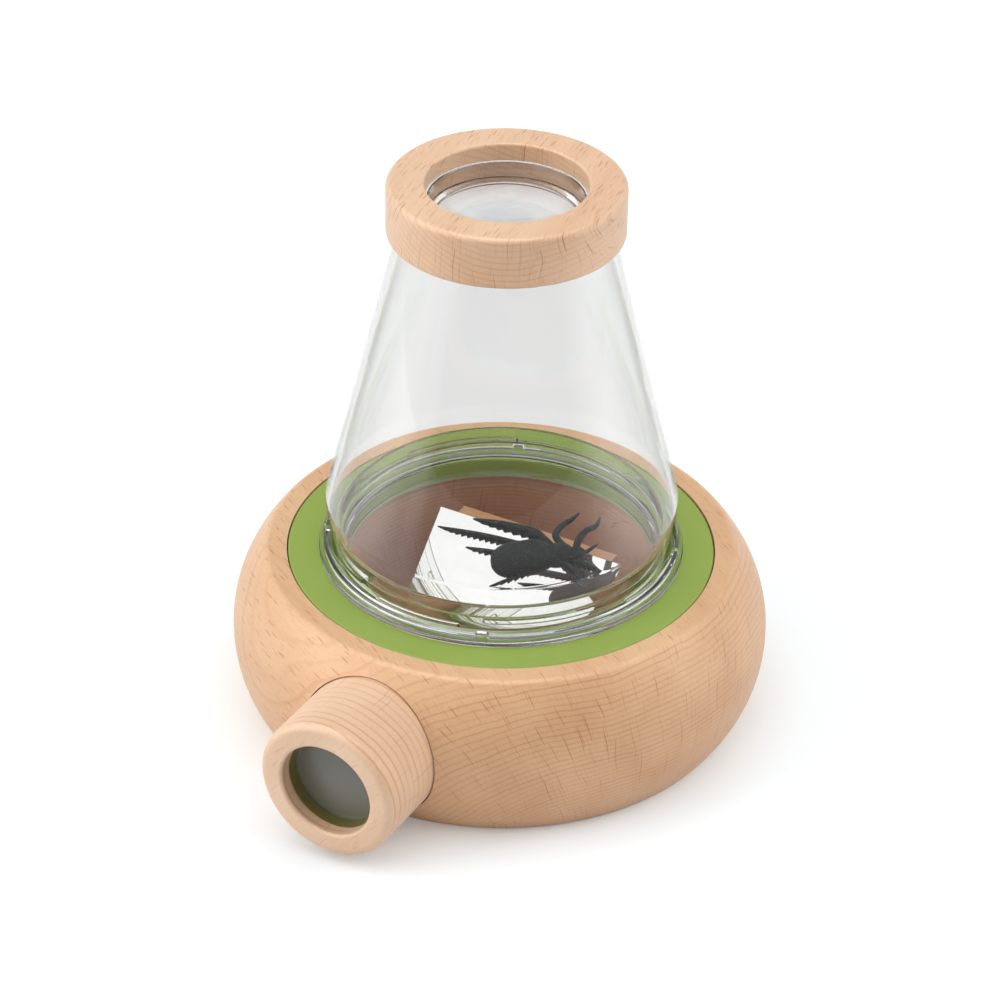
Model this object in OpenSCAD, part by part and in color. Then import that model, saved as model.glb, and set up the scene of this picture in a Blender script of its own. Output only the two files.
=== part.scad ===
// Bug viewer: a clear bell and dish standing in a turned wooden base. A mirror at 45 degrees under the
// dish turns the view of the creature's underside into a level eyepiece; a lens on top shows its back.
// Origin: centre of the flat underside. +Z up, the eyepiece points along -Y.

/* [Wooden base] */
// Greatest radius of the base
base_r = 67.5; // [66:0.5:72]
// Height of the base
base_h = 43.2; // [42:0.2:46]
// Radius of the round side, seen in section
side_r = 33.4; // [32:0.1:40]
// Height of the widest place of the side
side_z = 20.8; // [18:0.2:22]
// Rounding of the top edge
crease_round = 2.5; // [1:0.25:4]
// Rounding of the bottom edge
foot_round = 1.5; // [0.5:0.25:3]
// Thickness of the wood under the hollow
floor_t = 4; // [4:0.25:6]
// Rounding between the floor and the wall of the hollow
hollow_round = 3; // [1:0.5:5]

/* [Green cover plate] */
// Outer radius of the plate
plate_r = 53.4; // [50:0.2:54.4]
// Thickness of the plate
plate_t = 3; // [2:0.25:3.5]
// Radius of the round opening that takes the dish
opening_r = 40.3; // [38:0.1:41.5]
// Wall of the collar that hangs below the plate
sleeve_t = 1.8; // [1.2:0.1:2.4]
// Depth of that collar below the top of the plate
sleeve_h = 6.4; // [5:0.2:7]
// Gap round the plate in its recess
plate_gap = 0.3; // [0.1:0.05:0.6]

/* [Mirror] */
// Width of the mirror
mirror_w = 53; // [44:1:56]
// Thickness of the mirror glass
mirror_t = 2; // [1.5:0.25:3]
// Height of the eyepiece's axis, where it meets the mirror
axis_z = 21; // [20:0.2:22]
// Room under the mirror's lower edge
mirror_foot = 0.4; // [0.2:0.1:1]
// Room between the plane of the mirror's upper edge and the dish
mirror_head = 1; // [0.6:0.1:2.6]
// Thickness of the sticky pad behind the mirror
tape_t = 0.5; // [0.3:0.1:1]
// Margin between the pad's edge and the block's edge
tape_margin = 3; // [2:0.5:6]
// Overhang of the mirror past each side of its block
mirror_overhang = 4; // [1:0.5:6]
// Flat top of the block
block_top = 3; // [2:0.5:8]
// Upright nose at the block's thin edge
block_nose = 1.5; // [1:0.25:3]
// Radius of the block screws' shank
screw_r = 1.6; // [1.25:0.05:2]
// Length of the block screws
screw_len = 20; // [14:1:24]
// Distance of each block screw from the middle
screw_x = 12; // [8:1:16]

/* [Eyepiece] */
// Reach of the eyepiece from the middle of the base
eye_reach = 84.6; // [82:0.2:90]
// Radius of the opening that the eye looks into
eye_open_r = 12.2; // [11:0.1:13]
// Thickness of the wooden lip round that opening
eye_lip = 3.6; // [2.5:0.1:5]
// Rounding of the barrel's outer edge
barrel_round = 2.2; // [1:0.1:3]
// Rounding of the lip's edge
lip_round = 0.9; // [0.4:0.1:1.5]
// Wood left round the barrel's bore
barrel_wall = 2.4; // [2:0.1:3]
// Step between the barrel and its thinner tail
barrel_step = 2; // [1:0.1:2.4]
// How far the barrel can be pushed in
push_in = 1.5; // [1:0.1:2]
// Gap round the barrel where it enters the base
barrel_gap = 0.3; // [0.2:0.05:0.6]
// Running clearance round the barrel's tail
tail_gap = 0.1; // [0.05:0.01:0.1]
// Depth from the lip to the eyepiece lens
lens_depth = 3; // [3:0.25:8]
// Thickness of the eyepiece lens at its rim
eye_lens_edge = 1.6; // [1:0.1:3]
// Radius of both faces of the eyepiece lens
eye_lens_curve = 80; // [35:1:120]

/* [Clear dish] */
// Depth of the dish below the top of the plate
dish_sink = 4.6; // [4:0.1:5]
// Thickness of the dish's floor
dish_floor_t = 2; // [1.5:0.1:2.5]
// Wall of the dish below its flange
dish_wall = 1.6; // [1.2:0.1:2]
// Clearance round the dish in the plate
dish_gap = 0.3; // [0.2:0.05:0.5]
// Thickness of the flange
flange_t = 1.4; // [1.2:0.1:3]
// How far the flange reaches past the bell's bead
flange_lip = 1.1; // [0.5:0.1:2]
// Height of the collar above the flange
collar_h = 7.8; // [5.5:0.1:9]
// How far the collar's face stands out past the dish below
collar_step = 1.1; // [0.8:0.1:1.6]
// Wall of the collar at its mouth
collar_t = 1.1; // [0.9:0.1:1.5]
// Height of the locking lugs above the collar's face
lug_h = 0.75; // [0.5:0.05:1]
// Sweep of each locking lug, in degrees
lug_sweep = 43; // [30:1:48]

/* [Clear bell] */
// Thickness of the bell's skirt
skirt_t = 1.6; // [1.2:0.1:2.4]
// Height of the skirt, flange to shoulder
skirt_h = 14.8; // [12:0.2:18]
// Bead round the foot of the skirt
bead = 0.7; // [0.4:0.1:1]
// Height of that bead
bead_h = 1.6; // [1:0.1:2.5]
// Thickness of the cone
cone_t = 1.8; // [1.6:0.1:3]
// Height of the cone
cone_h = 74.3; // [60:0.1:90]
// Radius of the cone at its top
cone_top_r = 25.8; // [24.5:0.1:26.5]
// Rounding of the shoulder
shoulder_round = 3; // [1:0.5:5]
// Thickness of the shelf that the top lens lies on
shelf_t = 2; // [1.5:0.1:3]
// Width of the air notches in the skirt
notch_w = 3; // [2:0.25:5]
// Height of the air notches
notch_h = 0.9; // [0.5:0.1:1.4]

/* [Top lens and ring] */
// Outer radius of the wooden ring
ring_r = 28.7; // [28.2:0.1:32]
// Height of the wooden ring
ring_h = 12.9; // [11:0.1:15]
// Radius of the hole in the ring
ring_hole_r = 19.5; // [18.8:0.1:20]
// Thickness of the ring's lip over the bell's neck
ring_lip = 4.5; // [3:0.1:6]
// Rounding of the ring's outer edges
ring_round = 1.4; // [0.5:0.1:2]
// How far the ring reaches down over the cone
ring_skirt = 1.2; // [0.8:0.1:2]
// Wall of the neck inside the ring
neck_t = 2.2; // [1.5:0.1:2.6]
// Thickness of the top lens at its rim
top_lens_edge = 2; // [1.5:0.1:2.6]
// Radius of both faces of the top lens
top_lens_curve = 62; // [45:1:120]
// Width of the ledge that the lens ring shows
retainer_w = 2.2; // [1.6:0.1:2.6]
// Thickness of the clear ring over the lens
retainer_t = 1; // [0.8:0.1:1.4]

/* [Toy insect] */
// Place of the insect on the dish, sideways
insect_x = 9.5; // [-10:0.5:10]
// Place of the insect on the dish, front to back
insect_y = -5.3; // [-6:0.1:6]
// Direction of its head, in degrees from +X
insect_turn = 46; // [0:1:360]
// Length of its body, tail to head
insect_l = 24.4; // [18:0.2:25]

/* [Hidden] */
$fn = 96;
over = 1;
seat = 0.1;
rest_gap = 0.2;
beech = "#e2ba96";
pale_beech = "#ebcba9";
leaf_green = "#97ac62";
clear = [0.86, 0.91, 0.9, 0.35];

// Small gaps and edges
plate_round = 0.5;
ring_gap = 0.5;

// Base, plate and mirror: heights and radii that follow from the sizes above. The mirror reaches down its
// slope to the hollow's floor and up it to the dish.
dish_z = base_h - dish_sink;
side_x = base_r - side_r;
side_bands = 30;
recess_z = base_h - plate_t;
recess_r = plate_r + plate_gap;
sleeve_r = opening_r + sleeve_t;
hollow_r = sleeve_r + plate_gap;
mirror_down = sqrt(2) * (axis_z - floor_t - mirror_foot) - mirror_t;
mirror_up = sqrt(2) * (dish_z - mirror_head - axis_z) - mirror_t;
block_back = mirror_t + tape_t + 2 * seat;
block_w = mirror_w - 2 * mirror_overhang;
slope_z = axis_z - block_back * sqrt(2);
block_top_z = axis_z + (mirror_up - mirror_t) / sqrt(2);
block_nose_z = floor_t + block_nose;
block_back_y = block_top_z - slope_z + block_top;
screw_y = block_back_y / 2;
screw_head_r = 2 * screw_r;
screw_sink = 0.3;
screw_slot = 0.45 * screw_r;

// Eyepiece, from the lens pocket outwards
liner_in_r = eye_open_r - 0.2;
lens_ledge = 0.8;
eye_lens_r = liner_in_r + lens_ledge;
pocket_r = eye_lens_r + seat;
liner_r = pocket_r + 1;
bore_r = liner_r + seat;
tail_r = bore_r + barrel_wall;
barrel_r = tail_r + barrel_step;
counterbore_y = recess_r + 1.5;
barrel_back_y = counterbore_y + push_in + 1.5;
tail_y = hollow_r + push_in;
lip_y = eye_reach - eye_lip;
lens_fn = 240;
eye_pocket_end = lip_y - lens_depth;
eye_lens_z = eye_pocket_end - seat - eye_lens_edge;
eye_ring_l = 3;
eye_ring_t = 1.3;

// Dish, collar and lugs
dish_floor_z = dish_z + dish_floor_t;
dish_r = opening_r - dish_gap;
dish_in_r = dish_r - dish_wall;
flange_z = base_h + rest_gap;
flange_top_z = flange_z + flange_t;
collar_z = flange_top_z + collar_h;
collar_r = dish_r + collar_step;
collar_in_r = collar_r - collar_t;
lug_r = collar_r + lug_h;
lug_z = flange_top_z + 3.2;
lug_t = 1.2;
lug_count = 4;
lug_pitch = 360 / lug_count;
lug_play = 8;
mouth_steps = 2;
dish_round = 0.6;

// Bell: skirt, cone and neck
skirt_gap = 0.35;
skirt_in_r = lug_r + skirt_gap;
skirt_r = skirt_in_r + skirt_t;
bead_r = skirt_r + bead;
flange_r = bead_r + flange_lip;
skirt_z = flange_top_z + rest_gap;
shoulder_z = flange_top_z + skirt_h;
cone_top_z = shoulder_z + cone_h;
cone_lean = atan2(skirt_r - cone_top_r, cone_h);
cone_wall = cone_t / cos(cone_lean);
dome_lug_r = collar_r + skirt_gap;
dome_lug_z = flange_top_z + 1.4;
dome_lug_sweep = lug_pitch - lug_sweep - 2 * lug_play;

// Neck, top lens and ring
neck_in_r = ring_hole_r - ring_gap;
neck_r = neck_in_r + neck_t;
shelf_z = cone_top_z - shelf_t;
top_lens_z = cone_top_z + seat;
top_lens_r = neck_in_r - seat;
retainer_z = top_lens_z + top_lens_edge + seat;
shelf_hole_r = top_lens_r - 2 * lens_ledge;
ring_z = cone_top_z - ring_skirt;
ring_top_z = ring_z + ring_h;
neck_top_z = ring_top_z - ring_lip - seat;

// Toy insect
insect_z = dish_floor_z + seat;
drawn_l = 24.4;
abdomen_r = 4.6;
tooth_pitch = 1.5;
tooth_share = 0.35;
limb_fn = 10;
body_fn = 24;

// Depth from a lens's rim to the centre of its round face
function lens_centre(r, curve) = sqrt(pow(curve, 2) - pow(r, 2));

// How far a lens's round face stands above its rim at a smaller radius
function lens_rise(r, rim_r, curve) = lens_centre(r, curve) - lens_centre(rim_r, curve);

// Points of an arc about a centre, from one angle to another
function arc_points(centre, r, from, to, steps) = [
    for (i = [0:steps])
        let (turn = from + (to - from) * i / steps)
        centre + r * [cos(turn), sin(turn)]
];

// Waste that a rounding cutter takes off a square corner at the origin, material towards -X and -Y
module corner_waste(r) {
    difference() {
        translate([-r, -r]) square(r + over);
        translate([-r, -r]) circle(r = r);
    }
}

// Places its children with local +Z along the eyepiece's axis, outwards
module along_eyepiece() {
    translate([0, 0, axis_z]) rotate([90, 0, 0]) children();
}

// Centre of a rounding between the round side and a flat face, up = 1 for the top and -1 for the bottom
function side_rounding(r, face_z, up) =
    [side_x + sqrt(pow(side_r - r, 2) - pow(face_z - up * r - side_z, 2)), face_z - up * r];

// Angle at which that rounding meets the round side
function side_meets(centre) = atan2(centre.y - side_z, centre.x - side_x);

// Half section of the turned base before its hollow is bored: underside, foot, side, crease and top
module base_section() {
    foot = side_rounding(foot_round, 0, -1);
    crease = side_rounding(crease_round, base_h, 1);
    polygon(concat(
        [[0, 0]],
        arc_points(foot, foot_round, -90, side_meets(foot), 6),
        arc_points([side_x, side_z], side_r, side_meets(foot), side_meets(crease), side_bands),
        arc_points(crease, crease_round, side_meets(crease), 90, 8),
        [[0, base_h]]
    ));
}

// Half section of the hollow, with its rounded floor corner
module hollow_section() {
    difference() {
        translate([0, floor_t]) square([hollow_r, base_h]);
        translate([hollow_r, floor_t]) mirror([0, 1, 0]) corner_waste(hollow_round);
    }
}

// Countersunk screw shape along +Z, head face at the origin
module screw_shape(grow) {
    cylinder(r1 = screw_head_r + grow, r2 = screw_r + grow, h = screw_head_r - screw_r);
    cylinder(r = screw_r + grow, h = screw_len);
}

module at_block_screws() {
    for (side = [-1, 1]) translate([side * screw_x, screw_y, screw_sink]) children();
}

module base_body() {
    color(beech) difference() {
        rotate([0, 0, -90]) rotate_extrude() base_section();
        rotate_extrude() hollow_section();
        translate([0, 0, recess_z]) cylinder(r = recess_r, h = plate_t + over);
        along_eyepiece() {
            translate([0, 0, hollow_r / 2]) cylinder(r = tail_r + tail_gap, h = base_r);
            translate([0, 0, counterbore_y]) cylinder(r = barrel_r + barrel_gap, h = base_r);
        }
        at_block_screws() {
            screw_shape(seat);
            translate([0, 0, -over]) cylinder(r = screw_head_r + seat, h = over);
        }
    }
}

module cover_plate() {
    color(leaf_green) rotate_extrude() difference() {
        union() {
            translate([opening_r, recess_z]) square([plate_r - opening_r, plate_t]);
            translate([opening_r, base_h - sleeve_h]) square([sleeve_t, sleeve_h]);
        }
        translate([plate_r, base_h]) corner_waste(plate_round);
        translate([opening_r, base_h]) mirror([1, 0, 0]) corner_waste(plate_round);
    }
}

// Block with its slope facing the eyepiece, drawn in Y and Z and run along X
module mirror_block() {
    color(beech) difference() {
        translate([-block_w / 2, 0, 0]) rotate([90, 0, 90]) linear_extrude(block_w) polygon([
            [block_nose_z - slope_z, floor_t],
            [block_nose_z - slope_z, block_nose_z],
            [block_top_z - slope_z, block_top_z],
            [block_back_y, block_top_z],
            [block_back_y, floor_t]
        ]);
        at_block_screws() screw_shape(0);
    }
}

// A sheet on the mirror's slope at a depth behind the reflecting plane, short of the mirror's ends by an inset
module on_slope(width, inset, depth, thickness) {
    length = mirror_down + mirror_up - 2 * inset;
    translate([0, 0, axis_z]) rotate([45, 0, 0])
        translate([-width / 2, inset - mirror_down, -depth - thickness]) cube([width, length, thickness]);
}

module mirror_tape() {
    tape_w = block_w - 2 * tape_margin;
    color("white") on_slope(tape_w, tape_margin + block_nose, mirror_t + seat, tape_t);
}

module mirror_glass() {
    color("#dfe6ea") on_slope(mirror_w, 0, 0, mirror_t);
}

module block_screws() {
    color("silver") at_block_screws() difference() {
        screw_shape(-seat / 10);
        for (turn = [0, 90]) rotate([0, 0, turn])
            translate([-screw_r, -screw_slot / 2, -over]) cube([2 * screw_r, screw_slot, over + screw_r]);
    }
}

module eyepiece_barrel() {
    color(pale_beech) along_eyepiece() rotate_extrude() difference() {
        union() {
            translate([0, barrel_back_y]) square([barrel_r, eye_reach - barrel_back_y]);
            translate([0, tail_y]) square([tail_r, eye_reach - tail_y]);
        }
        translate([0, tail_y - over]) square([bore_r, lip_y - tail_y + over]);
        translate([0, tail_y]) square([eye_open_r, eye_reach]);
        translate([barrel_r, eye_reach]) corner_waste(barrel_round);
        translate([eye_open_r, eye_reach]) mirror([1, 0, 0]) corner_waste(lip_round);
    }
}

// The pocket's end slopes like the rim of the lens that it holds
module eyepiece_liner() {
    rise = lens_rise(liner_in_r, eye_lens_r, eye_lens_curve);
    color("#5c5f2b") along_eyepiece() rotate_extrude() polygon([
        [pocket_r, tail_y],
        [liner_r, tail_y],
        [liner_r, lip_y - seat],
        [liner_in_r, lip_y - seat],
        [liner_in_r, eye_pocket_end + rise],
        [pocket_r, eye_pocket_end]
    ]);
}

// Lens of two equal round faces along +Z, with its rim between z = 0 and z = edge
module lens_shape(r, edge, curve) {
    intersection() {
        translate([0, 0, -curve]) cylinder(r = r, h = 2 * curve);
        translate([0, 0, edge - lens_centre(r, curve)]) sphere(r = curve, $fn = lens_fn);
        translate([0, 0, lens_centre(r, curve)]) sphere(r = curve, $fn = lens_fn);
    }
}

module eyepiece_lens() {
    color(clear) along_eyepiece() translate([0, 0, eye_lens_z])
        lens_shape(eye_lens_r, eye_lens_edge, eye_lens_curve);
}

// Ring whose end is hollowed to the lens's round face
module eyepiece_retainer() {
    color("#3a3c22") along_eyepiece()
        translate([0, 0, eye_lens_z - seat - eye_ring_l]) difference() {
            cylinder(r = eye_lens_r, h = eye_ring_l);
            translate([0, 0, -over]) cylinder(r = eye_lens_r - eye_ring_t, h = eye_ring_l + 2 * over);
            translate([0, 0, eye_ring_l + lens_centre(eye_lens_r, eye_lens_curve)])
                sphere(r = eye_lens_curve, $fn = lens_fn);
        }
}

// Short ramp round the Z axis: a section of ring from one radius to another, centred on an angle
module ring_lug(from_r, to_r, z, height, middle, sweep) {
    rotate([0, 0, middle - sweep / 2]) translate([0, 0, z]) rotate_extrude(angle = sweep)
        translate([from_r, 0]) square([to_r - from_r, height]);
}

module dish() {
    color(clear) union() {
        rotate_extrude() difference() {
            union() {
                translate([0, dish_z]) square([dish_r, flange_z - dish_z]);
                translate([0, flange_z]) square([flange_r, flange_t]);
                translate([0, flange_top_z]) square([collar_r, collar_h]);
            }
            translate([0, dish_floor_z]) square([dish_in_r, collar_z]);
            for (step = [1:mouth_steps])
                translate([0, collar_z - collar_h * (1 - (step - 1) / mouth_steps)])
                    square([dish_in_r + (collar_in_r - dish_in_r) * step / mouth_steps, collar_h]);
            translate([flange_r, flange_top_z]) corner_waste(dish_round);
            translate([dish_r, dish_z]) mirror([0, 1, 0]) corner_waste(dish_round);
        }
        for (lug = [0:lug_count - 1])
            ring_lug(collar_r - seat, lug_r, lug_z, lug_t, (lug + 0.5) * lug_pitch, lug_sweep);
    }
}

// Outline of the bell in half section, foot to neck on the outside and back down inside, where the
// shelf slopes like the lens that lies on it
module dome_section() {
    drop = shoulder_round * tan(cone_lean / 2);
    shoulder = arc_points([skirt_r - shoulder_round, shoulder_z - drop], shoulder_round, 0, cone_lean, 6);
    inner_z = shoulder_z - (cone_wall - skirt_t) / tan(cone_lean);
    shelf_drop = lens_rise(shelf_hole_r, top_lens_r, top_lens_curve);
    polygon(concat(
        [
            [skirt_in_r, skirt_z],
            [bead_r, skirt_z],
            [bead_r, skirt_z + bead_h],
            [skirt_r, skirt_z + bead_h + bead]
        ],
        shoulder,
        [
            [cone_top_r, cone_top_z],
            [neck_r, cone_top_z],
            [neck_r, neck_top_z],
            [neck_in_r, neck_top_z],
            [neck_in_r, cone_top_z],
            [shelf_hole_r, cone_top_z - shelf_drop],
            [shelf_hole_r, shelf_z],
            [cone_top_r - cone_wall + shelf_t * tan(cone_lean), shelf_z],
            [skirt_in_r, inner_z]
        ]
    ));
}

module dome() {
    color(clear) difference() {
        union() {
            rotate_extrude() dome_section();
            for (lug = [0:lug_count - 1])
                ring_lug(dome_lug_r, skirt_in_r + seat, dome_lug_z, lug_t, lug * lug_pitch, dome_lug_sweep);
        }
        for (notch = [0:lug_count - 1])
            rotate([0, 0, (notch + 0.5) * lug_pitch - lug_sweep / 2])
                translate([skirt_in_r - over, -notch_w / 2, skirt_z - over])
                    cube([bead_r - skirt_in_r + 2 * over, notch_w, notch_h + over]);
    }
}

module top_lens() {
    color(clear) translate([0, 0, top_lens_z]) lens_shape(top_lens_r, top_lens_edge, top_lens_curve);
}

// Flat clear ring whose underside is hollowed to the lens's round face
module lens_retainer() {
    color(clear) translate([0, 0, retainer_z]) difference() {
        cylinder(r = top_lens_r, h = retainer_t);
        translate([0, 0, -over]) cylinder(r = top_lens_r - retainer_w, h = retainer_t + 2 * over);
        translate([0, 0, -lens_centre(top_lens_r, top_lens_curve)])
            sphere(r = top_lens_curve, $fn = lens_fn);
    }
}

module top_ring() {
    color(beech) rotate_extrude() difference() {
        translate([0, ring_z]) square([ring_r, ring_h]);
        translate([0, ring_z - over]) square([cone_top_r + ring_gap, ring_skirt + over + seat]);
        translate([0, ring_z - over]) square([neck_r + seat, neck_top_z + seat - ring_z + over]);
        translate([0, ring_z]) square([ring_hole_r, ring_h + over]);
        translate([ring_r, ring_top_z]) corner_waste(ring_round);
        translate([ring_r, ring_z]) mirror([0, 1, 0]) corner_waste(ring_round / 2);
        translate([ring_hole_r, ring_top_z]) mirror([1, 0, 0]) corner_waste(ring_round / 2);
    }
}

// Round limb through a list of points, its radius running from the first point's to the last's
module limb(points, from_r, to_r) {
    count = len(points) - 1;
    for (i = [0:count - 1]) hull() for (end = [i, i + 1])
        translate(points[end]) sphere(r = from_r + (to_r - from_r) * end / count, $fn = limb_fn);
}

// Leg from the body to its tip: a round upper edge with an upright saw-toothed blade hanging from it
module toothed_leg(from, to, thick, width) {
    along = to - from;
    reach = norm([along.x, along.y]);
    teeth = round(reach / tooth_pitch);
    limb([from, to], thick / 2, thick / 4);
    rise = atan2(along.z, reach);
    translate(from) rotate([0, 0, atan2(along.y, along.x)]) rotate([90, -rise, 0])
        translate([0, 0, -thick / 4]) linear_extrude(thick / 2) polygon(concat(
            [[0, 0], [reach, 0]],
            [
                for (i = [teeth:-1:1], tip = [0, 1])
                    let (depth = width * (1 - i / (teeth + 2)) * (1 - tooth_share * (1 - tip)))
                    [reach * (i - 0.5 * tip) / (teeth + 0.5), -depth]
            ],
            [[0, -width * (1 - tooth_share)]]
        ));
}

// Smooth skin over balls given as [centre, radius]
module over_balls(balls) {
    hull() for (ball = balls) translate(ball[0]) sphere(r = ball[1], $fn = body_fn);
}

// The insect with a body drawn_l long. Local +X runs to its head and Z = 0 is what it stands on.
module insect_drawing() {
    over_balls([
        [[-5.2, 0, 3.9], 3.3],
        [[-2.8, 0, abdomen_r], abdomen_r],
        [[1.2, 0, abdomen_r], abdomen_r - 0.2],
        [[6, 0, 4], 2.9]
    ]);
    over_balls([[[7.6, 0, 4.2], 3.1], [[10, 0, 3.9], 3.1]]);
    over_balls([[[12.6, -0.4, 3.4], 2.5], [[14.2, -0.5, 3.1], 1.9]]);
    toothed_leg([5, 3, 4.6], [-16.8, 19.1, 5], 1.6, 3);
    toothed_leg([0, 2.6, 3.4], [-11.6, 11.1, 2.8], 1.4, 2.2);
    limb([[8, 2.4, 4.8], [4.6, 7.6, 7], [1.6, 11, 6.6]], 1.4, 1);
    toothed_leg([4.6, 7.6, 7], [-7.2, 19.8, 5], 2, 4);
    toothed_leg([7.8, -1.8, 3.2], [-10.3, -5, 1.4], 1.6, 1.4);
    toothed_leg([9, -2, 3.6], [11.6, -14, 3.4], 1.6, 2.6);
    toothed_leg([11, -2, 3.4], [18, -9.5, 3], 1.4, 2.2);
    limb([[11.2, 2.2, 4.6], [9.9, 5.4, 6], [11.6, 7.3, 7.2], [14.8, 8.4, 8.2], [17.4, 9.6, 9]], 1, 0.6);
    limb([[13.6, 0.8, 4.2], [15.1, 2.6, 6], [17.3, 4.1, 7.2], [19.8, 4, 8.2], [21.9, 6.4, 9]], 1, 0.6);
    limb([[14.6, -1, 3.6], [19.6, 0.8, 5]], 0.7, 0.4);
}

module insect() {
    color("#1e2022") translate([insect_x, insect_y, insect_z]) rotate([0, 0, insect_turn])
        scale(insect_l / drawn_l) insect_drawing();
}

base_body();
cover_plate();
mirror_block();
mirror_tape();
mirror_glass();
block_screws();
eyepiece_barrel();
eyepiece_liner();
eyepiece_lens();
eyepiece_retainer();
dish();
insect();
dome();
top_lens();
lens_retainer();
top_ring();
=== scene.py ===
import math

import bmesh
import bpy
import numpy as np
from mathutils import Matrix, Vector


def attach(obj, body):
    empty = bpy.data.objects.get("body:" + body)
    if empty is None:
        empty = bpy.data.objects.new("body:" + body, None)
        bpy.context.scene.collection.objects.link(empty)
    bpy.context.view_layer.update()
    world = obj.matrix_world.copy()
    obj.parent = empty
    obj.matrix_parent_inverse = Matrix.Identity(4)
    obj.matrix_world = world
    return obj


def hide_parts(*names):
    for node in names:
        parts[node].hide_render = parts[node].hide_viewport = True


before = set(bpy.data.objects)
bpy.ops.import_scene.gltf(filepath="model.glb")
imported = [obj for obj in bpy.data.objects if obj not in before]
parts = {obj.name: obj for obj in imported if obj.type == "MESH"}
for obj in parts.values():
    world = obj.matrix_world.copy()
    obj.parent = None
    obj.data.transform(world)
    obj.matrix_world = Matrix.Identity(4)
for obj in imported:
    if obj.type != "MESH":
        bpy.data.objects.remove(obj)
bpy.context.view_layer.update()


# Base body: a flattened bowl turned from one block of beech, hollow from above, with its grain lying across
# the eyepiece's line. Outside it is sanded and has a thin clear satin varnish, so growth lines and rays
# show through. The hollow is left bare, with less gloss, and its wood is darkened there with painted shade.
BEECH_LIGHT = (227, 185, 142)
BEECH_DARK = (194, 138, 94)
BEECH_RAY = (174, 108, 62)
# Painted shade: the wood in the hollow and the whole mirror block have their colour multiplied by this.
HOLLOW_PAINTED_SHADE = (0.93, 0.77, 0.63, 1.0)
BASE_GRAIN_ANGLE = -31.0
BASE_PITH = (5.2, 8.6, -30.0)
BASE_RAY_PITH = (5.2, 8.6, -66.0)
BASE_RING_WIDTH = 1.25
HOLLOW_R = 0.047
# Noises have that many cells a millimetre along the grain, sideways and radially.
SLOW_NOISE, FINE_NOISE = (0.012, 0.05, 0.05), (0.05, 0.3, 0.3)
FIBRES, CLOUDS = (0.25, 3.2, 3.2), (0.015, 0.06, 0.06)
RING_WOBBLE, RING_FRAY, RAY_WOBBLE = 2.6, 0.3, 5.0
LATE_BEGIN, LATE_END = (0.55, 0.86), (0.88, 1.0)
RAY_REACH = 90.0
# Rays are pitched and sized in millimetres along the grain, out from the pith and round it.
LARGE_RAYS = {"pitch": (4.6, 17.0, 1.05), "size": (2.2, 8.0, 0.15)}
SMALL_RAYS = {"pitch": (2.4, 6.0, 0.55), "size": (1.1, 2.6, 0.07)}
FIBRE_TONE, CLOUD_TONE, END_TONE = 0.55, 0.9, 0.25


def linear(red, green, blue):
    """The linear values that shaders take, from a colour as a screen shows it, each part from 0 to 255."""
    share = np.array([red, green, blue]) / 255
    value = np.where(share <= 0.04045, share / 12.92, ((share + 0.055) / 1.055) ** 2.4)
    return (*value.tolist(), 1.0)


def feed(tree, node, feeds):
    """Feeds a node's inputs, each from a socket or a plain value."""
    for key, value in dict(feeds).items():
        if isinstance(value, bpy.types.NodeSocket):
            tree.links.new(value, node.inputs[key])
        else:
            node.inputs[key].default_value = value


def add(tree, kind, feeds=(), out=0, **settings):
    """Adds one shader node, sets it, feeds its inputs and gives one of its outputs."""
    node = tree.nodes.new(kind)
    for name, value in settings.items():
        setattr(node, name, value)
    feed(tree, node, feeds)
    return node.outputs[out]


def calc(tree, operation, *terms, clamp=False):
    """One step of arithmetic on numbers or sockets."""
    return add(tree, "ShaderNodeMath", dict(enumerate(terms)), operation=operation, use_clamp=clamp)


def times(tree, first, second):
    """The product of two numbers or sockets."""
    return calc(tree, "MULTIPLY", first, second)


def plus(tree, first, second, clamp=False):
    """The sum of two numbers or sockets."""
    return calc(tree, "ADD", first, second, clamp=clamp)


def minus(tree, first, second):
    """The difference of two numbers or sockets."""
    return calc(tree, "SUBTRACT", first, second)


def scaled(tree, value, scale, offset):
    """A value times a scale, with an offset added."""
    return calc(tree, "MULTIPLY_ADD", value, scale, offset)


def vectors(tree, operation, *terms, out=0):
    """One step of arithmetic on vectors."""
    return add(tree, "ShaderNodeVectorMath", dict(enumerate(terms)), out=out, operation=operation)


def dot(tree, first, second):
    """The dot product of two vectors."""
    return vectors(tree, "DOT_PRODUCT", first, second, out="Value")


def joined(tree, x, y, z):
    """A vector from three numbers or sockets."""
    return add(tree, "ShaderNodeCombineXYZ", {0: x, 1: y, 2: z})


def stretched(tree, values, scales):
    """A vector from three values, each times a scale of its own."""
    return joined(tree, *(times(tree, value, scale) for value, scale in zip(values, scales)))


def stepped(tree, value, low, high, first=0.0, last=1.0):
    """A smooth step of a value, from first at low to last at high."""
    feeds = {"Value": value, "From Min": low, "From Max": high, "To Min": first, "To Max": last}
    return add(tree, "ShaderNodeMapRange", feeds, interpolation_type="SMOOTHSTEP")


def noise(tree, place, detail=2.0, rough=0.5):
    """Cloudy noise about 0.5 at that place, one cell a unit."""
    feeds = {"Vector": place, "Scale": 1.0, "Detail": detail, "Roughness": rough}
    return add(tree, "ShaderNodeTexNoise", feeds, out="Fac")


def blend(tree, share, first, last, mode="MIX"):
    """Two colours mixed by a share."""
    feeds = {"Factor": share, 6: first, 7: last}
    return add(tree, "ShaderNodeMix", feeds, out=2, data_type="RGBA", blend_type=mode)


def sockets(group, places, **kinds):
    """Gives a node group its named sockets on one side and returns the ones that carry them inside."""
    for name, kind in kinds.items():
        group.interface.new_socket(name.replace("_", " "), in_out=places, socket_type="NodeSocket" + kind)
    node = group.nodes.new("NodeGroupInput" if places == "INPUT" else "NodeGroupOutput")
    ends = node.outputs if places == "INPUT" else node.inputs
    return {name: ends[name.replace("_", " ")] for name in kinds}


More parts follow.
